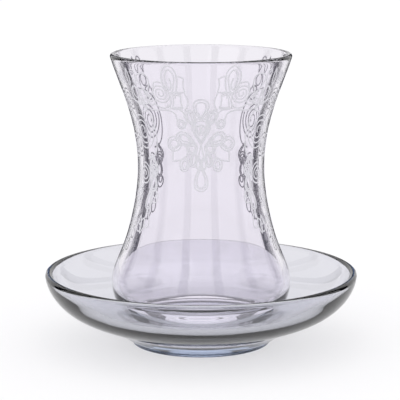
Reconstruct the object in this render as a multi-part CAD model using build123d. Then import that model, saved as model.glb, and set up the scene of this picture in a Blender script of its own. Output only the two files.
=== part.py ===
"""A slim-waisted Turkish tea glass standing on its saucer, two separate pieces of clear glass.

Millimetres, +Z up. The origin is the centre of the saucer's foot, on the table.
Both pieces are turned about Z, so each one is a half section, drawn as (radius, height).
"""

from build123d import *
import math
import os

# ---- Tea glass. Heights are above the ring that it stands on.
glass_height = 96.0
rim_radius = 31.6  # outside of the lip
rim_lean = 17.0  # degrees that the wall leans outwards at the lip
waist_radius = 22.1  # narrowest place
waist_height = 56.8
belly_radius = 31.5  # widest place of the lower body
belly_height = 16.8
stand_radius = 23.0  # outer edge of the flat ring that it stands on

# Places that give the wall its curve: (way out or in, way up) as shares from one place to the next
heel = (0.72, 0.37)  # from the stand ring to the belly
shoulder = (0.38, 0.26)  # from the belly to the waist
neck = (0.77, 0.56)  # from the belly to the waist
flare = (0.41, 0.57)  # from the waist to the rim

lip_thickness = 1.9
waist_wall = 1.9
belly_wall = 2.3
floor_thickness = 6.0  # the heavy bottom
floor_corner = 8.7  # how far the inside rounds in from the belly's wall to the flat floor
stand_ring_width = 4.0
punt_depth = 1.4  # shallow hollow under the glass, inside the stand ring

# ---- Saucer. The section of its bowl is given by the underside, and the wall stands on that.
saucer_radius = 55.0
saucer_height = 25.6
rim_upright = 7.0  # degrees that the edge leans outwards at its rim
foot_radius = 24.6
foot_height = 1.0
foot_slope = 29.0  # degrees that the underside climbs where it leaves the foot
foot_ring_width = 3.6  # flat ring that touches the table
foot_edge = 0.6  # rounding of the foot's outer edge
foot_hollow = 1.0  # depth of the hollow inside the foot

# Places that give the underside its curve: shares of the way from the foot to the rim
dish = (0.18, 0.14)  # near the foot
bend = (0.76, 0.48)  # where the shallow bowl turns up into the steep edge

saucer_edge = 2.6  # thickness at the rounded rim
saucer_wall = 3.9  # thickness in the shallow part

# ---- The round seat in the saucer, in which the glass stands
seat_height = 6.5  # top of the seat's flat floor, above the table
seat_clearance = 3.6  # radial room round the stand ring
seat_lip = 0.8  # height of the rounded step round the seat

os.makedirs("parts", exist_ok=True)


def leaning(degrees):
    """The direction of a wall that leans outwards by so many degrees."""
    return Vector(math.sin(math.radians(degrees)), math.cos(math.radians(degrees)))


def left_of(direction):
    return Vector(-direction.Y, direction.X)


def rounded_rim(outer_radius, top, thickness, lean):
    """The half round on top of a wall: its outer end, its crown and its inner end."""
    centre = Vector(outer_radius - thickness / 2, top - thickness / 2)
    along = leaning(lean) * (thickness / 2)
    across = left_of(along)
    return centre - across, centre + along, centre + across


def above_surface(edge, share, thickness):
    """The point at this share of the edge's length, moved square off it by the wall's thickness."""
    return edge.position_at(share) + left_of(edge.tangent_at(share)) * thickness


def blend(low, high, share):
    return low + (high - low) * share


def between(start, end, shares):
    """The point that lies these shares of the way across and up from start to end."""
    return blend(start[0], end[0], shares[0]), blend(start[1], end[1], shares[1])


def smooth_curve(points, first_way, last_way):
    """A curve through the points that sets out and arrives in the given directions."""
    return Spline(*points, tangents=[first_way, last_way], tangent_scalars=(1, 1))


def turned(*edges):
    return revolve(Plane.XZ * make_face(edges), Axis.Z)


# ---------------------------------------------------------------- tea glass
def glass_wall_at(height):
    """The wall's thickness: heavy up to the belly, and finer from the waist to the lip."""
    if height > waist_height:
        share = (height - waist_height) / (glass_height - waist_height)
        return blend(waist_wall, lip_thickness, share)
    share = (height - belly_height) / (waist_height - belly_height)
    return blend(belly_wall, waist_wall, max(0, share))


def tea_glass():
    lip_out, lip_top, lip_in = rounded_rim(rim_radius, glass_height, lip_thickness, rim_lean)
    wall_up = leaning(rim_lean)
    ring_inner = stand_radius - stand_ring_width

    punt = TangentArc((0, punt_depth), (ring_inner, 0), tangent=(1, 0))
    ring = Line((ring_inner, 0), (stand_radius, 0))
    stand = (stand_radius, 0)
    belly = (belly_radius, belly_height)
    waist = (waist_radius, waist_height)
    rim = (rim_radius, glass_height)
    outer_points = [
        stand,
        between(stand, belly, heel),
        belly,
        between(belly, waist, shoulder),
        between(belly, waist, neck),
        waist,
        between(waist, rim, flare),
        lip_out,
    ]
    outside = smooth_curve(outer_points, Vector(1, 0), wall_up)
    lip = ThreePointArc(lip_out, lip_top, lip_in)

    # the inside keeps to the outside, down to where it rounds into the floor
    inner_points = [lip_in]
    for share in (0.9, 0.78, 0.66, 0.54, 0.42, 0.31, 0.22, 0.15):
        wall = glass_wall_at(outside.position_at(share).Y)
        inner_points.append(above_surface(outside, share, wall))
    floor_radius = belly_radius - belly_wall - floor_corner
    inner_points.append((floor_radius, floor_thickness))
    inside = smooth_curve(inner_points, -wall_up, Vector(-1, 0))
    floor = Line((floor_radius, floor_thickness), (0, floor_thickness))
    axis = Line((0, floor_thickness), (0, punt_depth))
    glass = turned(punt, ring, outside, lip, inside, floor, axis)
    return Pos(0, 0, seat_height) * glass


# ---------------------------------------------------------------- saucer
def saucer():
    rim_out, rim_top, rim_in = rounded_rim(saucer_radius, saucer_height, saucer_edge, rim_upright)
    rim_up = leaning(rim_upright)
    ring_inner = foot_radius - foot_ring_width
    seat_radius = stand_radius + seat_clearance
    seat_step = seat_radius + seat_lip

    hollow = TangentArc((0, foot_hollow), (ring_inner, 0), tangent=(1, 0))
    ring = Line((ring_inner, 0), (foot_radius - foot_edge, 0))
    foot = TangentArc((foot_radius - foot_edge, 0), (foot_radius, foot_edge), tangent=(1, 0))
    foot_side = Line((foot_radius, foot_edge), (foot_radius, foot_height))
    foot_top = (foot_radius, foot_height)
    rim_place = (saucer_radius, saucer_height)
    under_points = [
        foot_top,
        between(foot_top, rim_place, dish),
        between(foot_top, rim_place, bend),
        rim_out,
    ]
    foot_way = leaning(90 - foot_slope)
    under = smooth_curve(under_points, foot_way, rim_up)
    rim = ThreePointArc(rim_out, rim_top, rim_in)

    # the inside keeps to the underside, down to the seat
    inner_points = [rim_in]
    for share in (0.86, 0.7, 0.54, 0.38, 0.24):
        point = above_surface(under, share, blend(saucer_wall, saucer_edge, share**2))
        if point.X > seat_step + saucer_wall:
            inner_points.append(point)
    inner_points.append((seat_step, seat_height + seat_lip))
    inside = smooth_curve(inner_points, -rim_up, -foot_way)
    step = TangentArc(
        (seat_radius, seat_height), (seat_step, seat_height + seat_lip), tangent=(1, 0)
    )
    seat = Line((seat_radius, seat_height), (0, seat_height))
    axis = Line((0, seat_height), (0, foot_hollow))
    return turned(hollow, ring, foot, foot_side, under, rim, inside, step, seat, axis)


PARTS = {"tea_glass": tea_glass, "saucer": saucer}
for name, make in PARTS.items():
    part = make()
    export_step(part, f"parts/{name}.step")
    print(name, "volume", round(part.volume / 1000, 1), "cm3", part.bounding_box().size)
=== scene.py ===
import math
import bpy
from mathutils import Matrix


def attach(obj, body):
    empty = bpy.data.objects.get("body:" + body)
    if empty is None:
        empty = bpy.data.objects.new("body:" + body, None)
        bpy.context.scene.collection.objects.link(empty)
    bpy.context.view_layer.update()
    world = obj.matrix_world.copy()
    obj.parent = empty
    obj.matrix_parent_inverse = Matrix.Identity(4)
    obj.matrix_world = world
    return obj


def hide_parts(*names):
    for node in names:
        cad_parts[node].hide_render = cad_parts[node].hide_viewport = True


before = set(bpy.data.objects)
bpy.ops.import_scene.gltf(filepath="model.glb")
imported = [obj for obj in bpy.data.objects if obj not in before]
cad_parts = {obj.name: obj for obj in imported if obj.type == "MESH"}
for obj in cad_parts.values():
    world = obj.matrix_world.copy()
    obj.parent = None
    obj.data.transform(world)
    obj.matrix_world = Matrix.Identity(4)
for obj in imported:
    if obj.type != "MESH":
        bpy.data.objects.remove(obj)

from types import SimpleNamespace

import bpy
import numpy as np
from bpy.props import FloatProperty, FloatVectorProperty, IntProperty, PointerProperty

bl_info = {
    "name": "Tea glass and saucer",
    "version": (1, 0, 0),
    "blender": (4, 5, 0),
    "location": "3D View > Sidebar > Tea Glass",
    "description": "Makes a slim-waisted tea glass with enamel scrollwork, a saucer and a stage",
    "category": "Object",
}

MM = 0.001
RING_RADIUS = 0.05  # the ring that a section is carried round; sections are drawn from it
POLE_GAP = 2e-6  # points nearer than this, at the poles of a turned piece, become one

# Fixed sizes of the outlines, in millimetres and degrees
STAND_RING_WIDTH = 4.0
STAND_RING_RISE = 0.35  # at the stand ring's inner edge
STAND_RING_LIFT = 0.02  # keeps the stand ring's face off the saucer's seat
SAUCER_RIM_LEAN = 7.0
FOOT_SLOPE = 29.0
FOOT_RING_WIDTH = 3.6
FOOT_EDGE = 0.6
INNER_SHARES_GLASS = (0.9, 0.78, 0.66, 0.54, 0.42, 0.31, 0.22, 0.15)
INNER_SHARES_SAUCER = (0.86, 0.7, 0.54, 0.38, 0.24)

FRAME_SHIFT = -0.00265  # sideways, as a share of the frame's width

# The faint ripple in the glass: its height in metres, and how closely it repeats each way
TEA_GLASS_RIPPLE = 0.00002
SAUCER_RIPPLE = 0.00003
RIPPLE_SCALE = (55, 55, 16)
SAUCER_DEPTH_DENSITY = 26.0  # how soon the depth tint shows, for each metre

# The stage, in metres and degrees
FLOOR_HALF = 6.0
FLOOR_DROP = 0.0002  # keeps the floor off the saucer's foot
FLAG_COUNT = 8
FLAG_REACH = 0.2  # from the object's axis
FLAG_HALF_WIDTH = 0.02
FLAG_TOP = 0.35


# ------------------------------------------------------------------ curves
def smooth_curve(points, first_way, last_way, steps):
    """Points along the curve through the given points, leaving and arriving in the given ways."""
    points = np.array(points, float)
    chords = np.linalg.norm(np.diff(points, axis=0), axis=1)
    count = len(points)
    system = np.zeros((count, count))
    wanted = np.zeros((count, 2))
    system[0, 0] = system[-1, -1] = 1
    wanted[0], wanted[-1] = first_way, last_way
    for i in range(1, count - 1):
        before, after = chords[i - 1], chords[i]
        system[i, i - 1:i + 2] = after, 2 * (before + after), before
        slope_before = (points[i] - points[i - 1]) / before
        slope_after = (points[i + 1] - points[i]) / after
        wanted[i] = 3 * (after * slope_before + before * slope_after)
    ways = np.linalg.solve(system, wanted)
    curve = []
    for i, chord in enumerate(chords):
        share = max(2, round(steps * chord / chords.sum()))
        for t in np.linspace(0, 1, share, endpoint=False):
            curve.append(
                (2 * t**3 - 3 * t**2 + 1) * points[i]
                + (t**3 - 2 * t**2 + t) * chord * ways[i]
                + (3 * t**2 - 2 * t**3) * points[i + 1]
                + (t**3 - t**2) * chord * ways[i + 1]
            )
    curve.append(points[-1])
    return np.array(curve)


def arc(centre, radius, start, end, steps):
    """Points of an arc, between two angles in degrees."""
    angles = np.radians(np.linspace(start, end, steps))
    return np.column_stack(
        [centre[0] + radius * np.cos(angles), centre[1] + radius * np.sin(angles)]
    )


def straight(start, end, steps):
    return np.linspace(start, end, steps)


def joined(*pieces):
    """One line through the pieces, with no point twice."""
    line = [np.array(pieces[0][0], float)]
    for piece in pieces:
        for point in piece:
            if np.linalg.norm(point - line[-1]) > 1e-4:
                line.append(np.array(point, float))
    return np.array(line)


def along(line, share):
    """The point and the way at this share of the line's length."""
    lengths = np.concatenate([[0], np.cumsum(np.linalg.norm(np.diff(line, axis=0), axis=1))])
    place = share * lengths[-1]
    point = np.array([np.interp(place, lengths, line[:, k]) for k in (0, 1)])
    ahead = np.array([np.interp(place + 0.05, lengths, line[:, k]) for k in (0, 1)])
    behind = np.array([np.interp(place - 0.05, lengths, line[:, k]) for k in (0, 1)])
    way = (ahead - behind) / np.linalg.norm(ahead - behind)
    return point, way


def leaning(degrees):
    """The way of a wall that leans outwards by so many degrees."""
    return np.array([math.sin(math.radians(degrees)), math.cos(math.radians(degrees))])


def left_of(way):
    return np.array([-way[1], way[0]])


def blend(low, high, share):
    return low + (high - low) * share


def between(start, end, shares):
    return np.array([blend(start[0], end[0], shares[0]), blend(start[1], end[1], shares[1])])


# ------------------------------------------------------------------ sizes
def size(name, value, about):
    """A length, written here in millimetres."""
    return FloatProperty(
        name=name, description=about, default=value * MM, unit="LENGTH", precision=4
    )


def angle(name, value, about):
    """An angle, written here in degrees."""
    return FloatProperty(
        name=name, description=about, default=math.radians(value), subtype="ANGLE"
    )


def plain_sizes(group):
    """The group's values, with lengths in millimetres and angles in degrees."""
    values = {}
    for key in group.__annotations__:
        value = getattr(group, key)
        unit = group.bl_rna.properties[key].unit
        if unit == "LENGTH":
            value = round(value / MM, 4)
        elif unit == "ROTATION":
            value = round(math.degrees(value), 4)
        values[key] = value
    return SimpleNamespace(**values)


class TEAGLASS_PG_glass(bpy.types.PropertyGroup):
    """Sizes and colour of the tea glass."""

    height: size("Height", 96.0, "Height of the glass")
    rim_radius: size("Rim radius", 31.6, "Outside of the lip")
    waist_radius: size("Waist radius", 22.1, "Narrowest place of the wall")
    waist_height: size("Waist height", 56.8, "Height of the narrowest place")
    belly_radius: size("Belly radius", 31.5, "Widest place of the lower body")
    belly_height: size("Belly height", 16.8, "Height of the widest place")
    stand_radius: size("Stand radius", 23.0, "Outer edge of the ring that it stands on")
    rim_lean: angle("Rim lean", 17.0, "Lean of the wall outwards at the lip")
    lip: size("Lip", 1.9, "Thickness of the rounded lip")
    waist_wall: size("Waist wall", 1.9, "Thickness of the wall at the waist")
    belly_wall: size("Belly wall", 2.3, "Thickness of the wall at the belly")
    floor: size("Floor", 6.0, "Thickness of the heavy bottom")
    floor_corner: size("Floor corner", 8.7, "Rounding between the wall and the floor inside")
    punt: size("Punt", 1.4, "Depth of the hollow under the bottom")
    tint: FloatVectorProperty(
        name="Tint", description="Colour of the glass", subtype="COLOR",
        default=(0.95, 0.93, 0.975),
    )


class TEAGLASS_PG_saucer(bpy.types.PropertyGroup):
    """Sizes and colour of the saucer."""

    radius: size("Radius", 55.0, "Outside of the rim")
    height: size("Height", 25.6, "Height of the rim above the table")
    foot_radius: size("Foot radius", 24.6, "Outside of the foot")
    foot_height: size("Foot height", 1.0, "Height of the foot")
    foot_hollow: size("Foot hollow", 1.0, "Depth of the hollow inside the foot")
    edge: size("Edge", 2.6, "Thickness at the rim")
    wall: size("Wall", 3.9, "Thickness of the bowl")
    seat_height: size("Seat height", 6.5, "Height of the flat seat for the glass")
    seat_radius: size("Seat radius", 26.6, "Radius of the flat seat")
    seat_lip: size("Seat lip", 0.8, "Height of the step round the seat")
    tint: FloatVectorProperty(
        name="Tint", description="Colour of the saucer's glass", subtype="COLOR",
        default=(0.88, 0.87, 0.905),
    )
    depth_tint: FloatVectorProperty(
        name="Depth tint", description="Colour that long ways through the saucer take on",
        subtype="COLOR", default=(0.55, 0.68, 0.86),
    )


class TEAGLASS_PG_enamel(bpy.types.PropertyGroup):
    """Sizes and colour of the enamel lines."""

    width: size("Line width", 0.6, "Width of the enamel lines")
    relief: size("Relief", 0.05, "Height of the lines above the glass")
    gap: size("Outline gap", 0.95, "Distance between the two lines of a double outline")
    tint: FloatVectorProperty(
        name="Enamel", description="Colour of the enamel", subtype="COLOR",
        default=(0.76, 0.75, 0.80),
    )


class TEAGLASS_PG_stage(bpy.types.PropertyGroup):
    """Camera, light and surroundings."""

    distance: size("Camera distance", 639.4, "Level distance from the object's axis")
    camera_height: size("Camera height", 167.4, "Height above the table")
    pitch: angle("Camera pitch", 10.348, "How far the camera looks down")
    lens: FloatProperty(
        name="Lens", description="Focal length in millimetres", default=166.4, unit="CAMERA"
    )
    segments: IntProperty(
        name="Segments", description="Faces round each turned piece", default=256, min=16
    )


SETTINGS = {
    "teaglass_glass": TEAGLASS_PG_glass,
    "teaglass_saucer": TEAGLASS_PG_saucer,
    "teaglass_enamel": TEAGLASS_PG_enamel,
    "teaglass_stage": TEAGLASS_PG_stage,
}


# ------------------------------------------------------------------ outlines of the two pieces
def glass_outside(sizes):
    """The outer wall from the stand ring up to the lip, above the face that the glass stands on."""
    stand = (sizes.stand_radius, 0)
    belly = (sizes.belly_radius, sizes.belly_height)
    waist = (sizes.waist_radius, sizes.waist_height)
    rim = (sizes.rim_radius, sizes.height)
    wall_up = leaning(sizes.rim_lean)
    lip_centre = np.array([sizes.rim_radius - sizes.lip / 2, sizes.height - sizes.lip / 2])
    lip_out = lip_centre + np.array([wall_up[1], -wall_up[0]]) * sizes.lip / 2
    points = [
        stand,
        between(stand, belly, (0.72, 0.37)),
        belly,
        between(belly, waist, (0.38, 0.26)),
        between(belly, waist, (0.77, 0.56)),
        waist,
        between(waist, rim, (0.41, 0.57)),
        lip_out,
    ]
    return smooth_curve(points, (1, 0), wall_up, 110), lip_centre


def glass_section(sizes):
    outside, lip_centre = glass_outside(sizes)
    lean = sizes.rim_lean
    wall_up = leaning(lean)
    lip = arc(lip_centre, sizes.lip / 2, -lean, 180 - lean, 14)
    inner = [lip[-1]]
    for share in INNER_SHARES_GLASS:
        point, way = along(outside, share)
        height = point[1]
        if height > sizes.waist_height:
            part = (height - sizes.waist_height) / (sizes.height - sizes.waist_height)
            wall = blend(sizes.waist_wall, sizes.lip, part)
        else:
            part = (height - sizes.belly_height) / (sizes.waist_height - sizes.belly_height)
            wall = blend(sizes.belly_wall, sizes.waist_wall, max(0, part))
        inner.append(point + left_of(way) * wall)
    floor_radius = sizes.belly_radius - sizes.belly_wall - sizes.floor_corner
    inner.append((floor_radius, sizes.floor))
    inside = smooth_curve(inner, -wall_up, (-1, 0), 110)
    ring_inner = sizes.stand_radius - STAND_RING_WIDTH
    inner_edge = (ring_inner, STAND_RING_RISE)
    down = (0.97, -0.2)
    ring = smooth_curve(
        [
            inner_edge,
            (ring_inner + 0.6 * STAND_RING_WIDTH, STAND_RING_LIFT),
            (sizes.stand_radius, STAND_RING_LIFT),
        ],
        down, (1, 0), 10,
    )
    punt = smooth_curve([(0, sizes.punt), inner_edge], (1, 0), down, 24)
    floor = straight((floor_radius, sizes.floor), (0, sizes.floor), 24)
    return joined(punt, ring, outside[1:], lip, inside, floor)


def saucer_section(sizes):
    lean = SAUCER_RIM_LEAN
    rim_up = leaning(lean)
    foot_way = leaning(90 - FOOT_SLOPE)
    rim_centre = np.array([sizes.radius - sizes.edge / 2, sizes.height - sizes.edge / 2])
    rim = arc(rim_centre, sizes.edge / 2, -lean, 180 - lean, 18)
    foot_top = (sizes.foot_radius, sizes.foot_height)
    rim_place = (sizes.radius, sizes.height)
    under = smooth_curve(
        [
            foot_top,
            between(foot_top, rim_place, (0.18, 0.14)),
            between(foot_top, rim_place, (0.76, 0.48)),
            rim[0],
        ],
        foot_way, rim_up, 60,
    )
    inner = [rim[-1]]
    for share in INNER_SHARES_SAUCER:
        point, way = along(under, share)
        wall = blend(sizes.wall, sizes.edge, share**2)
        inner.append(point + left_of(way) * wall)
    step = (sizes.seat_radius + sizes.seat_lip, sizes.seat_height + sizes.seat_lip)
    inner.append(step)
    inside = smooth_curve(inner, -rim_up, -foot_way, 60)
    seat_step = smooth_curve(
        [step, (sizes.seat_radius, sizes.seat_height)], (-0.8, -0.6), (-1, 0), 6
    )
    foot = arc((sizes.foot_radius - FOOT_EDGE, FOOT_EDGE), FOOT_EDGE, -90, 0, 6)
    foot_inner = sizes.foot_radius - FOOT_RING_WIDTH
    hollow = smooth_curve(
        [(0, sizes.foot_hollow), (foot_inner, 0)], (1, 0), (0.99, -0.09), 26
    )
    seat = straight((sizes.seat_radius, sizes.seat_height), (0, sizes.seat_height), 30)
    return joined(
        hollow, straight((foot_inner, 0), foot[0], 6), foot, under, rim, inside, seat_step, seat
    )


# ------------------------------------------------------------------ geometry nodes
def link(tree, source, target):
    tree.links.new(source, target)


def new_tree(name, inputs):
    tree = bpy.data.node_groups.new(name, "GeometryNodeTree")
    tree.interface.new_socket("Geometry", in_out="INPUT", socket_type="NodeSocketGeometry")
    for label, kind in inputs:
        tree.interface.new_socket(label, in_out="INPUT", socket_type=kind)
    tree.interface.new_socket("Geometry", in_out="OUTPUT", socket_type="NodeSocketGeometry")
    return tree, tree.nodes.new("NodeGroupInput"), tree.nodes.new("NodeGroupOutput")


def turning_tree():
    """Carries a section round the upright axis and closes it at its poles."""
    tree, given, result = new_tree(
        "Turned glass",
        [
            ("Segments", "NodeSocketInt"),
            ("Ring radius", "NodeSocketFloat"),
            ("Glass", "NodeSocketMaterial"),
        ],
    )
    nodes = tree.nodes
    section = nodes.new("GeometryNodeMeshToCurve")
    ring = nodes.new("GeometryNodeCurvePrimitiveCircle")
    upright = nodes.new("GeometryNodeSetCurveNormal")
    upright.mode = "Z_UP"
    sweep = nodes.new("GeometryNodeCurveToMesh")
    merge = nodes.new("GeometryNodeMergeByDistance")
    merge.inputs["Distance"].default_value = POLE_GAP
    smooth = nodes.new("GeometryNodeSetShadeSmooth")
    realize = nodes.new("GeometryNodeRealizeInstances")
    paint = nodes.new("GeometryNodeSetMaterial")
    link(tree, given.outputs["Geometry"], section.inputs["Mesh"])
    link(tree, given.outputs["Segments"], ring.inputs["Resolution"])
    link(tree, given.outputs["Ring radius"], ring.inputs["Radius"])
    link(tree, ring.outputs["Curve"], upright.inputs["Curve"])
    link(tree, upright.outputs["Curve"], sweep.inputs["Curve"])
    link(tree, section.outputs["Curve"], sweep.inputs["Profile Curve"])
    link(tree, sweep.outputs["Mesh"], merge.inputs["Geometry"])
    link(tree, merge.outputs["Geometry"], smooth.inputs["Geometry"])
    link(tree, smooth.outputs["Geometry"], realize.inputs["Geometry"])
    link(tree, realize.outputs["Geometry"], paint.inputs["Geometry"])
    link(tree, given.outputs["Glass"], paint.inputs["Material"])
    link(tree, paint.outputs["Geometry"], result.inputs["Geometry"])
    return tree


def enamel_tree():
    """Lays a low domed bead along each line, with its crown away from the glass."""
    tree, given, result = new_tree(
        "Enamel line",
        [
            ("Line width", "NodeSocketFloat"),
            ("Relief", "NodeSocketFloat"),
            ("Enamel", "NodeSocketMaterial"),
        ],
    )
    nodes = tree.nodes
    lines = nodes.new("GeometryNodeMeshToCurve")
    away = nodes.new("GeometryNodeInputNamedAttribute")
    away.data_type = "FLOAT_VECTOR"
    away.inputs["Name"].default_value = "away"
    face = nodes.new("GeometryNodeSetCurveNormal")
    face.mode = "FREE"
    bead = nodes.new("GeometryNodeCurvePrimitiveCircle")
    bead.inputs["Resolution"].default_value = 6
    bead.inputs["Radius"].default_value = 1.0
    half = nodes.new("ShaderNodeMath")
    half.operation = "MULTIPLY"
    half.inputs[1].default_value = 0.5
    shape = nodes.new("ShaderNodeCombineXYZ")
    shape.inputs["Z"].default_value = 1.0
    scale = nodes.new("GeometryNodeTransform")
    sweep = nodes.new("GeometryNodeCurveToMesh")
    sweep.inputs["Fill Caps"].default_value = True
    smooth = nodes.new("GeometryNodeSetShadeSmooth")
    realize = nodes.new("GeometryNodeRealizeInstances")
    paint = nodes.new("GeometryNodeSetMaterial")
    link(tree, given.outputs["Geometry"], lines.inputs["Mesh"])
    link(tree, lines.outputs["Curve"], face.inputs["Curve"])
    link(tree, away.outputs["Attribute"], face.inputs["Normal"])
    link(tree, given.outputs["Line width"], half.inputs[0])
    link(tree, given.outputs["Relief"], shape.inputs["X"])
    link(tree, half.outputs[0], shape.inputs["Y"])
    link(tree, bead.outputs["Curve"], scale.inputs["Geometry"])
    link(tree, shape.outputs["Vector"], scale.inputs["Scale"])
    link(tree, face.outputs["Curve"], sweep.inputs["Curve"])
    link(tree, scale.outputs["Geometry"], sweep.inputs["Profile Curve"])
    link(tree, sweep.outputs["Mesh"], smooth.inputs["Geometry"])
    link(tree, smooth.outputs["Geometry"], realize.inputs["Geometry"])
    link(tree, realize.outputs["Geometry"], paint.inputs["Geometry"])
    link(tree, given.outputs["Enamel"], paint.inputs["Material"])
    link(tree, paint.outputs["Geometry"], result.inputs["Geometry"])
    return tree


def made_by(tree, source, name, values, material):
    """A plain mesh object, made by running the tree on the source mesh."""
    maker = bpy.data.objects.new(name + "_source", source)
    bpy.context.scene.collection.objects.link(maker)
    modifier = maker.modifiers.new("Maker", "NODES")
    modifier.node_group = tree
    for item in tree.interface.items_tree:
        if item.in_out == "INPUT" and item.name in values:
            modifier[item.identifier] = values[item.name]
    bpy.context.view_layer.update()
    evaluated = maker.evaluated_get(bpy.context.evaluated_depsgraph_get())
    mesh = bpy.data.meshes.new_from_object(evaluated)
    mesh.name = name
    maker.modifiers.remove(modifier)
    bpy.data.objects.remove(maker)
    if not mesh.polygons:
        raise RuntimeError(name + " came out empty")
    face_outwards(mesh)
    mesh.materials.clear()
    mesh.materials.append(material)
    piece = bpy.data.objects.new(name, mesh)
    bpy.context.scene.collection.objects.link(piece)
    return piece


def face_outwards(mesh):
    """Turns a closed mesh's faces outwards, if its volume says that they point inwards."""
    mesh.calc_loop_triangles()
    corners = np.array([v.co[:] for v in mesh.vertices])
    faces = np.array([t.vertices[:] for t in mesh.loop_triangles])
    a, b, c = corners[faces[:, 0]], corners[faces[:, 1]], corners[faces[:, 2]]
    if np.einsum("ij,ij->i", a, np.cross(b, c)).sum() < 0:
        mesh.flip_normals()


def line_mesh(name, lines):
    """A mesh of edges only. Each line is (points, closed, outward ways or None)."""
    vertices, edges, aways = [], [], []
    for points, closed, ways in lines:
        first = len(vertices)
        vertices += [tuple(p) for p in points]
        edges += [(first + i, first + i + 1) for i in range(len(points) - 1)]
        if closed:
            edges.append((len(vertices) - 1, first))
        if ways is not None:
            aways += [tuple(w) for w in ways]
    mesh = bpy.data.meshes.new(name)
    mesh.from_pydata(vertices, edges, [])
    if aways:
        attribute = mesh.attributes.new("away", "FLOAT_VECTOR", "POINT")
        attribute.data.foreach_set("vector", np.array(aways, float).ravel())
    return mesh


def turned_piece(name, section, height, material):
    """A piece of glass turned from its section, standing at this height in millimetres."""
    # carried round the ring, a section's own up points down
    points = [(r * MM - RING_RADIUS, -(z + height) * MM, 0) for r, z in section]
    mesh = line_mesh(name + "_section", [(points, False, None)])
    segments = bpy.context.scene.teaglass_stage.segments
    values = {"Segments": segments, "Ring radius": RING_RADIUS, "Glass": material}
    return made_by(turning_tree(), mesh, name, values, material)


# ------------------------------------------------------------------ materials
def new_material(name):
    material = bpy.data.materials.new(name)
    material.use_nodes = True
    return material, material.node_tree, material.node_tree.nodes["Principled BSDF"]


def drawn_glass(name, tint, ripple):
    """Clear glass whose surface has the faint, long ripple of blown and pressed glass."""
    material, tree, shader = new_material(name)
    shader.inputs["Base Color"].default_value = (*tint, 1)
    shader.inputs["Roughness"].default_value = 0.0
    shader.inputs["IOR"].default_value = 1.5
    shader.inputs["Transmission Weight"].default_value = 1.0
    place = tree.nodes.new("ShaderNodeTexCoord")
    stretch = tree.nodes.new("ShaderNodeMapping")
    stretch.inputs["Scale"].default_value = RIPPLE_SCALE
    noise = tree.nodes.new("ShaderNodeTexNoise")
    noise.inputs["Scale"].default_value = 1.0
    noise.inputs["Detail"].default_value = 1.0
    bump = tree.nodes.new("ShaderNodeBump")
    bump.inputs["Strength"].default_value = 1.0
    bump.inputs["Distance"].default_value = ripple
    link(tree, place.outputs["Object"], stretch.inputs["Vector"])
    link(tree, stretch.outputs["Vector"], noise.inputs["Vector"])
    link(tree, noise.outputs["Fac"], bump.inputs["Height"])
    link(tree, bump.outputs["Normal"], shader.inputs["Normal"])
    return material


def enamel_material(tint):
    """Fired white enamel: satin, a little uneven in its whiteness."""
    material, tree, shader = new_material("white_enamel")
    shader.inputs["Roughness"].default_value = 0.45
    place = tree.nodes.new("ShaderNodeTexCoord")
    noise = tree.nodes.new("ShaderNodeTexNoise")
    noise.inputs["Scale"].default_value = 900.0
    noise.inputs["Detail"].default_value = 2.0
    tone = tree.nodes.new("ShaderNodeMix")
    tone.data_type = "RGBA"
    tone.inputs["A"].default_value = (*[c * 0.94 for c in tint], 1)
    tone.inputs["B"].default_value = (*tint, 1)
    link(tree, place.outputs["Object"], noise.inputs["Vector"])
    link(tree, noise.outputs["Fac"], tone.inputs["Factor"])
    link(tree, tone.outputs["Result"], shader.inputs["Base Color"])
    return material


# ------------------------------------------------------------------ scrollwork
# Lines are drawn flat, in millimetres: x to the right and y up. Petals and drops hang from (0, 0).
STEP = 0.35  # distance between the points of a line
DEGREE_WIDTH = 0.42  # millimetres for each degree round the glass, where stems are smoothed


def drop(width, length):
    """A closed teardrop, with its point at the top."""
    count = max(16, round((width + length) * 2 / STEP))
    t = np.linspace(0, 2 * math.pi, count, endpoint=False)
    return np.column_stack(
        [-width * 0.56 * np.sin(t) * np.sin(t / 2) ** 1.3, -length * (1 - np.cos(t)) / 2]
    ), True


def oval(width, length):
    """A closed oval, with its top at (0, 0)."""
    count = max(12, round((width + length) * 1.6 / STEP))
    t = np.linspace(0, 2 * math.pi, count, endpoint=False)
    return np.column_stack([-width / 2 * np.sin(t), -length * (1 - np.cos(t)) / 2]), True


def scroll(width, height, turns, start=0.0):
    """A spiral that winds in from its outer end, about (0, 0)."""
    count = round(turns * (width + height) * 1.1 / STEP)
    t = np.linspace(0, 1, count)
    way = math.radians(start) + 2 * math.pi * turns * t
    shrink = 1 - 0.86 * t
    return np.column_stack(
        [width / 2 * shrink * np.cos(way), height / 2 * shrink * np.sin(way)]
    ), False


def leaf(width, length):
    """A closed pointed leaf, hanging from (0, 0)."""
    count = max(8, round(length / STEP))
    t = np.linspace(0, 1, count)
    half = width / 2 * np.sin(math.pi * t**0.75)
    right = np.column_stack([half, -length * t])
    left = np.column_stack([-half, -length * t])[::-1][1:-1]
    return np.vstack([right, left]), True


def block(width, length, slant):
    """A closed leaf with a square end, hanging from (0, 0)."""
    corners = [(0, 0), (width * 0.9, slant), (width, -length), (-width * 0.12, -length * 0.94)]
    line = []
    for i, corner in enumerate(corners):
        end = corners[(i + 1) % 4]
        count = max(4, round(math.dist(corner, end) / STEP))
        for t in np.linspace(0, 1, count, endpoint=False):
            bow = 0.22 * math.sin(math.pi * t) * (1 if i % 2 == 0 else -1)
            along_x, along_y = end[0] - corner[0], end[1] - corner[1]
            line.append((corner[0] + along_x * t - along_y * bow * 0.4,
                         corner[1] + along_y * t + along_x * bow * 0.4))
    return np.array(line), True


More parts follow.
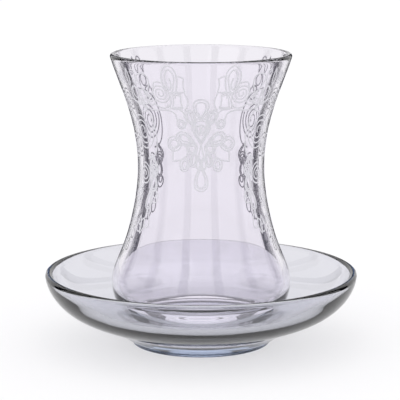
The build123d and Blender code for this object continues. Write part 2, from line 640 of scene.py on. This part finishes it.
def double(shape, width, length, gap, *more):
    """A shape and a smaller one inside it."""
    outer, closed = shape(width, length, *more)
    inner, _ = shape(width - 2 * gap, length - 2.1 * gap, *more)
    return [(outer, closed), (inner - np.array([0, gap * 1.15]), closed)]


class Wall:
    """The glass's outer wall, on which the lines are laid."""

    def __init__(self, sizes, stand):
        outside, _ = glass_outside(sizes)
        keep = outside[:, 1] > 4
        self.radii, self.heights = outside[keep, 0], outside[keep, 1] + stand
        order = np.argsort(self.heights)
        self.radii, self.heights = self.radii[order], self.heights[order]

    def radius(self, height):
        return np.interp(height, self.heights, self.radii)

    def place(self, azimuth, height):
        """The point on the wall, and the way out of it; azimuth 0 is the front."""
        bearing = math.radians(azimuth)
        slope = (self.radius(height + 0.4) - self.radius(height - 0.4)) / 0.8
        radius = self.radius(height)
        out = np.array([math.sin(bearing), -math.cos(bearing), -slope])
        point = np.array([radius * math.sin(bearing), -radius * math.cos(bearing), height])
        return point * MM, out / np.linalg.norm(out)


class Drawing:
    """Collects the lines that are laid on the wall."""

    def __init__(self, wall):
        self.wall = wall
        self.lines = []

    def lay(self, flat, closed, azimuth, height, turn=0.0, mirror=1):
        cos, sin = math.cos(math.radians(turn)), math.sin(math.radians(turn))
        around = self.wall.radius(height)
        points, ways = [], []
        for x, y in flat:
            x, y = x * cos - y * sin, x * sin + y * cos
            spot, way = self.wall.place(
                mirror * (azimuth + math.degrees(x / around)), height + y
            )
            points.append(spot)
            ways.append(way)
        self.lines.append((points, closed, ways))

    def both(self, shapes, azimuth, height, turn=0.0, far=False):
        """The shapes at the right and, mirrored, at the left; far adds both beyond the sides."""
        for flat, closed in shapes:
            self.lay(flat, closed, azimuth, height, turn, 1)
            if azimuth:
                self.lay(flat, closed, azimuth, height, turn, -1)
            if far:
                flipped = [(-x, y) for x, y in flat]
                self.lay(flipped, closed, 180 - azimuth, height, -turn, 1)
                self.lay(flipped, closed, 180 - azimuth, height, -turn, -1)

    def stem(self, places, far=False):
        """A smooth line through (azimuth, height) places."""
        flat = [(a * DEGREE_WIDTH, h) for a, h in places]
        first = np.subtract(flat[1], flat[0])
        last = np.subtract(flat[-1], flat[-2])
        length = sum(math.dist(p, q) for p, q in zip(flat, flat[1:]))
        line = smooth_curve(
            flat, first / np.linalg.norm(first), last / np.linalg.norm(last), length / STEP
        )
        places = [(x / DEGREE_WIDTH, y) for x, y in line]
        for side in (1, -1):
            for turn_round in (False, True) if far else (False,):
                spots = [
                    self.wall.place(side * (180 - a if turn_round else a), h) for a, h in places
                ]
                self.lines.append(([s[0] for s in spots], False, [s[1] for s in spots]))


def medallion(drawing, gap):
    """The flower at the front, with its hanging drop."""
    put = drawing.both
    # top petal, tall, and the faint pair beside it
    put(double(drop, 6.0, 7.4, gap), 0.0, 82.2, 180)
    put(double(drop, 4.2, 6.6, gap * 0.8), 4.5, 79.6, 158)
    put([drop(1.6, 4.6)], 7.0, 80.4, 164)
    # big middle petal, points down, a thick band
    put(double(drop, 7.2, 9.2, gap * 0.9), 0.0, 73.8, 180)
    put([drop(4.0, 5.6)], 0.0, 75.0, 180)
    put([drop(1.4, 3.2)], 1.0, 77.2, 170)
    # petals to the sides
    put(double(drop, 5.6, 7.6, gap * 0.95), 3.6, 73.4, 118)
    put([drop(2.6, 4.0)], 8.4, 74.7, 120)
    put(double(oval, 5.0, 5.0, gap), 23.2, 76.4, 0)
    put(double(oval, 2.8, 3.2, gap * 0.7), 17.2, 82.4, -20)
    # leaves below, narrow loops, small loops
    put([leaf(5.0, 7.4)], 13.0, 73.2, 42)
    put(double(oval, 3.6, 4.2, gap * 0.8), 7.6, 74.6, 0)
    put(double(drop, 2.9, 6.4, gap * 0.8), 5.0, 72.4, 8)
    put(double(oval, 3.2, 4.6, gap * 0.85), 14.0, 69.0, 6)
    put([drop(2.0, 6.4)], 0.0, 73.6, 0)
    put([drop(2.6, 4.8)], 2.6, 69.8, -8)
    # hanging drop
    put(double(drop, 5.6, 9.2, gap * 1.05), 0.0, 66.9, 0)


def garland(drawing, gap):
    """The scrolls that run from the flower round to the sides, below the rim."""
    put = drawing.both
    stem = drawing.stem
    stem([(52, 88.2), (44, 85.8), (34, 85.4), (24, 85.4), (20, 84.4), (18.2, 81.6)])
    stem([(24, 86.4), (18, 86.3), (13.5, 85.0), (11.4, 82.4), (13.0, 79.4)])
    # tall hooked scroll
    stem([(18.5, 89.8), (15.8, 96.0), (17.2, 99.8), (20.5, 101.2), (24.2, 100.0), (26.2, 96.0),
          (24.8, 91.8)])
    stem([(20.6, 91.0), (17.8, 96.0), (18.6, 98.8), (20.8, 99.8), (23.2, 98.4), (23.6, 95.4),
          (21.6, 92.8), (20.2, 94.0), (20.8, 96.8)])
    # square-ended leaves beside it
    put([block(3.0, 4.8, 0.7)], 11.2, 96.8, 4)
    put(double(block, 4.4, 5.0, gap * 0.6, 0.4), 14.0, 91.2, 3)
    stem([(11.4, 91.8), (9.8, 89.8), (10.2, 87.0), (12.4, 85.6)])
    # round scroll with a wider turn below it
    put([scroll(7.0, 6.8, 2.6, 200)], 29.2, 91.4)
    stem([(34.5, 92.0), (32.0, 95.2), (27.5, 95.2), (22.8, 92.0), (22.0, 88.4), (25.6, 86.6),
          (32.0, 86.6), (36.0, 87.8)])
    # petals that stand on the ring of circles
    put([drop(6.2, 7.0)], 40.5, 91.0, 172)
    put([drop(2.4, 5.6)], 49.5, 93.4, 176, far=True)
    put([leaf(1.6, 6.0)], 57.0, 93.2, 184, far=True)
    put([oval(5.0, 5.0), oval(3.0, 3.2)], 44.5, 92.2)
    put([oval(5.4, 6.2), oval(3.2, 4.0)], 52.0, 93.0, far=True)
    put([oval(4.0, 4.6)], 48.0, 88.8, 10, far=True)
    put([scroll(5.4, 5.4, 2.0, 30)], 39.0, 89.0)
    put([oval(2.6, 3.0), drop(2.0, 4.4)], 65.0, 97.6, 6, far=True)
    put([oval(2.4, 2.6)], 71.0, 96.6, far=True)


def side_pendant(drawing, gap):
    """The long pendants at the sides: scrolls at the top, then drops that grow smaller."""
    put = drawing.both
    stem = drawing.stem
    put([scroll(11.0, 13.5, 3.2, 160)], 56.0, 77.4, far=True)
    stem([(62, 88.6), (48, 86.4), (41.0, 80.0), (40.4, 74.0), (46.0, 68.6), (54.0, 67.6)], far=True)
    put([scroll(7.6, 8.4, 2.5, 20)], 72.0, 87.0, far=True)
    put([scroll(8.6, 9.2, 2.6, 200)], 76.0, 71.6, far=True)
    put(double(drop, 4.4, 7.0, gap * 0.9), 50.0, 69.4, -20, far=True)
    put(double(oval, 3.6, 4.4, gap * 0.8), 46.8, 65.8, far=True)
    put(double(drop, 3.8, 6.8, gap * 0.8), 46.6, 63.4, 0, far=True)
    put([scroll(7.0, 8.0, 2.4, 80)], 60.0, 62.0, far=True)
    put(double(drop, 3.6, 7.2, gap * 0.8), 50.0, 57.2, 8, far=True)
    put([oval(3.0, 4.4), oval(1.6, 2.6)], 44.6, 57.0, far=True)
    put([drop(3.0, 6.4)], 52.0, 50.2, -6, far=True)
    put([scroll(6.4, 7.2, 2.3, 250)], 68.0, 54.0, far=True)
    put([drop(3.2, 5.6), drop(1.6, 3.2)], 60.0, 47.6, 0, far=True)
    put([leaf(2.2, 5.4)], 55.0, 46.8, 10, far=True)
    put([oval(3.0, 4.0), oval(1.6, 2.2)], 70.0, 47.4, far=True)
    put([drop(2.8, 5.0)], 68.0, 42.8, 0, far=True)
    put([oval(2.4, 3.0)], 76.0, 41.8, far=True)
    put([drop(2.4, 4.4)], 80.0, 38.6, 0, far=True)
    stem([(80, 86.0), (70, 80.0), (66, 72.0), (72, 64.0), (66, 56.0), (72, 48.0), (78, 42.0)],
         far=True)
    # the middle of the pendant
    for height, width, length in ((95.4, 4.2, 6.0), (86.4, 6.4, 9.0), (76.0, 6.0, 8.6),
                                  (66.0, 5.4, 8.2), (56.4, 4.8, 7.6), (47.6, 4.0, 6.4)):
        put(double(drop, width, length, gap * 0.9), 90.0, height, 0)


# ------------------------------------------------------------------ operators
class TEAGLASS_OT_turn_glass(bpy.types.Operator):
    """Turns the tea glass and stands it in the saucer's seat."""

    bl_idname = "teaglass.turn_glass"
    bl_label = "Turn the tea glass"

    def execute(self, context):
        sizes = plain_sizes(context.scene.teaglass_glass)
        stand = plain_sizes(context.scene.teaglass_saucer).seat_height
        material = drawn_glass("clear_tea_glass", sizes.tint, TEA_GLASS_RIPPLE)
        piece = turned_piece("tea_glass_body", glass_section(sizes), stand, material)
        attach(piece, "root")
        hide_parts("tea_glass")
        return {"FINISHED"}


class TEAGLASS_OT_turn_saucer(bpy.types.Operator):
    """Turns the saucer."""

    bl_idname = "teaglass.turn_saucer"
    bl_label = "Turn the saucer"

    def execute(self, context):
        sizes = plain_sizes(context.scene.teaglass_saucer)
        material = drawn_glass("clear_saucer_glass", sizes.tint, SAUCER_RIPPLE)
        tree = material.node_tree
        depth = tree.nodes.new("ShaderNodeVolumeAbsorption")
        depth.inputs["Color"].default_value = (*sizes.depth_tint, 1)
        depth.inputs["Density"].default_value = SAUCER_DEPTH_DENSITY
        link(tree, depth.outputs["Volume"], tree.nodes["Material Output"].inputs["Volume"])
        piece = turned_piece("saucer_body", saucer_section(sizes), 0, material)
        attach(piece, "root")
        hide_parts("saucer")
        return {"FINISHED"}


class TEAGLASS_OT_draw_scrollwork(bpy.types.Operator):
    """Lays the enamel scrollwork on the tea glass."""

    bl_idname = "teaglass.draw_scrollwork"
    bl_label = "Draw the scrollwork"

    def execute(self, context):
        sizes = plain_sizes(context.scene.teaglass_enamel)
        stand = plain_sizes(context.scene.teaglass_saucer).seat_height
        drawing = Drawing(Wall(plain_sizes(context.scene.teaglass_glass), stand))
        material = enamel_material(sizes.tint)
        values = {
            "Line width": sizes.width * MM, "Relief": sizes.relief * MM, "Enamel": material,
        }
        tree = enamel_tree()
        for name, draw in (
            ("scrollwork_flower", medallion),
            ("scrollwork_garland", garland),
            ("scrollwork_pendants", side_pendant),
        ):
            drawing.lines = []
            draw(drawing, sizes.gap)
            piece = made_by(tree, line_mesh(name, drawing.lines), name, values, material)
            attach(piece, "root")
        return {"FINISHED"}


class TEAGLASS_OT_set_stage(bpy.types.Operator):
    """Sets the floor, the light, the surroundings and the camera."""

    bl_idname = "teaglass.set_stage"
    bl_label = "Set the stage"

    def execute(self, context):
        stage = plain_sizes(context.scene.teaglass_stage)
        set_world()
        set_floor()
        set_flags()
        set_lamps()
        data = bpy.data.cameras.new("camera")
        data.lens = stage.lens
        data.sensor_width = 36.0
        data.shift_x = FRAME_SHIFT
        data.clip_start = 0.01
        camera = bpy.data.objects.new("camera", data)
        camera.location = (0, -stage.distance * MM, stage.camera_height * MM)
        camera.rotation_euler = (math.radians(90 - stage.pitch), 0, 0)
        context.scene.collection.objects.link(camera)
        context.scene.camera = camera
        context.scene.view_settings.view_transform = "Standard"
        return {"FINISHED"}


def seen_strength(tree, plain, camera, glass):
    """One strength for plain light, one for the camera and one for rays by glass and gloss."""
    path = tree.nodes.new("ShaderNodeLightPath")
    by_glass = tree.nodes.new("ShaderNodeMath")
    by_glass.operation = "MAXIMUM"
    link(tree, path.outputs["Is Transmission Ray"], by_glass.inputs[0])
    link(tree, path.outputs["Is Glossy Ray"], by_glass.inputs[1])
    strength = None
    for seen, value in ((path.outputs["Is Camera Ray"], camera), (by_glass.outputs[0], glass)):
        choose = tree.nodes.new("ShaderNodeMix")
        choose.inputs["B"].default_value = value
        choose.inputs["A"].default_value = plain
        link(tree, seen, choose.inputs["Factor"])
        if strength:
            link(tree, strength, choose.inputs["A"])
        strength = choose.outputs["Result"]
    return strength


def set_world():
    world = bpy.data.worlds.new("soft_white")
    bpy.context.scene.world = world
    world.use_nodes = True
    tree = world.node_tree
    background = tree.nodes["Background"]
    background.inputs["Color"].default_value = (0.99, 0.985, 1.0, 1)
    link(tree, seen_strength(tree, plain=1.0, camera=1.02, glass=0.94), background.inputs["Strength"])


def set_floor():
    data = bpy.data.meshes.new("floor")
    signs = ((-1, -1), (1, -1), (1, 1), (-1, 1))
    corners = [(x * FLOOR_HALF, y * FLOOR_HALF, 0) for x, y in signs]
    data.from_pydata(corners, [], [(0, 1, 2, 3)])
    floor = bpy.data.objects.new("floor", data)
    floor.location.z = -FLOOR_DROP
    bpy.context.scene.collection.objects.link(floor)
    material, tree, shader = new_material("pale_floor")
    shader.inputs["Base Color"].default_value = (0.36, 0.36, 0.36, 1)
    shader.inputs["Roughness"].default_value = 0.9
    shader.inputs["Specular IOR Level"].default_value = 0.0
    shader.inputs["Emission Color"].default_value = (0.99, 0.985, 1, 1)
    glow = seen_strength(tree, plain=0.55, camera=0.60, glass=0.50)
    link(tree, glow, shader.inputs["Emission Strength"])
    under = tree.nodes.new("ShaderNodeNewGeometry")
    clear = tree.nodes.new("ShaderNodeBsdfTransparent")
    mix = tree.nodes.new("ShaderNodeMixShader")
    link(tree, under.outputs["Backfacing"], mix.inputs["Fac"])
    link(tree, shader.outputs["BSDF"], mix.inputs[1])
    link(tree, clear.outputs["BSDF"], mix.inputs[2])
    link(tree, mix.outputs["Shader"], tree.nodes["Material Output"].inputs["Surface"])
    data.materials.append(material)


def set_flags():
    """Eight narrow dark flags round the object, which draw the edges of the glass."""
    material, _, shader = new_material("dark_flag")
    shader.inputs["Base Color"].default_value = (0.03, 0.03, 0.04, 1)
    shader.inputs["Roughness"].default_value = 1.0
    shader.inputs["Specular IOR Level"].default_value = 0.0
    for i in range(FLAG_COUNT):
        middle = 2 * math.pi * (i + 0.5) / FLAG_COUNT
        across = np.array([-math.sin(middle), math.cos(middle), 0]) * FLAG_HALF_WIDTH
        centre = np.array([math.cos(middle), math.sin(middle), 0]) * FLAG_REACH
        up = np.array([0, 0, FLAG_TOP])
        data = bpy.data.meshes.new("flag")
        data.from_pydata(
            [centre - across, centre + across, centre + across + up, centre - across + up], [],
            [(0, 1, 2, 3)],
        )
        data.materials.append(material)
        flag = bpy.data.objects.new("flag_%d" % i, data)
        bpy.context.scene.collection.objects.link(flag)
        flag.visible_camera = False
        flag.visible_diffuse = False
        flag.visible_shadow = False


def set_lamps():
    """A wide soft light from above and a weaker one from the front left."""
    for name, tilt, turn, width, strength in (
        ("overhead", 0, 0, 70, 0.5),
        ("front_left", 50, -40, 50, 0.2),
    ):
        data = bpy.data.lights.new(name, "SUN")
        data.angle = math.radians(width)
        data.energy = strength
        lamp = bpy.data.objects.new(name, data)
        lamp.rotation_euler = (math.radians(tilt), 0, math.radians(turn))
        bpy.context.scene.collection.objects.link(lamp)


class TEAGLASS_PT_panel(bpy.types.Panel):
    """Lists the steps that make the glass, its saucer and the stage."""

    bl_idname = "TEAGLASS_PT_panel"
    bl_label = "Tea glass and saucer"
    bl_space_type = "VIEW_3D"
    bl_region_type = "UI"
    bl_category = "Tea Glass"

    def draw(self, context):
        for name, group in SETTINGS.items():
            box = self.layout.box()
            for key in group.__annotations__:
                box.prop(getattr(context.scene, name), key)
        for operator in OPERATORS:
            self.layout.operator(operator.bl_idname)


OPERATORS = (
    TEAGLASS_OT_turn_glass,
    TEAGLASS_OT_turn_saucer,
    TEAGLASS_OT_draw_scrollwork,
    TEAGLASS_OT_set_stage,
)
CLASSES = (*SETTINGS.values(), *OPERATORS, TEAGLASS_PT_panel)


def register():
    for item in CLASSES:
        bpy.utils.register_class(item)
    for name, group in SETTINGS.items():
        setattr(bpy.types.Scene, name, PointerProperty(type=group))


def unregister():
    for name in SETTINGS:
        delattr(bpy.types.Scene, name)
    for item in reversed(CLASSES):
        bpy.utils.unregister_class(item)


def main():
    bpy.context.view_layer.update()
    register()
    bpy.ops.teaglass.turn_glass()
    bpy.ops.teaglass.turn_saucer()
    bpy.ops.teaglass.draw_scrollwork()
    bpy.ops.teaglass.set_stage()


if __name__ == "__main__":
    main()
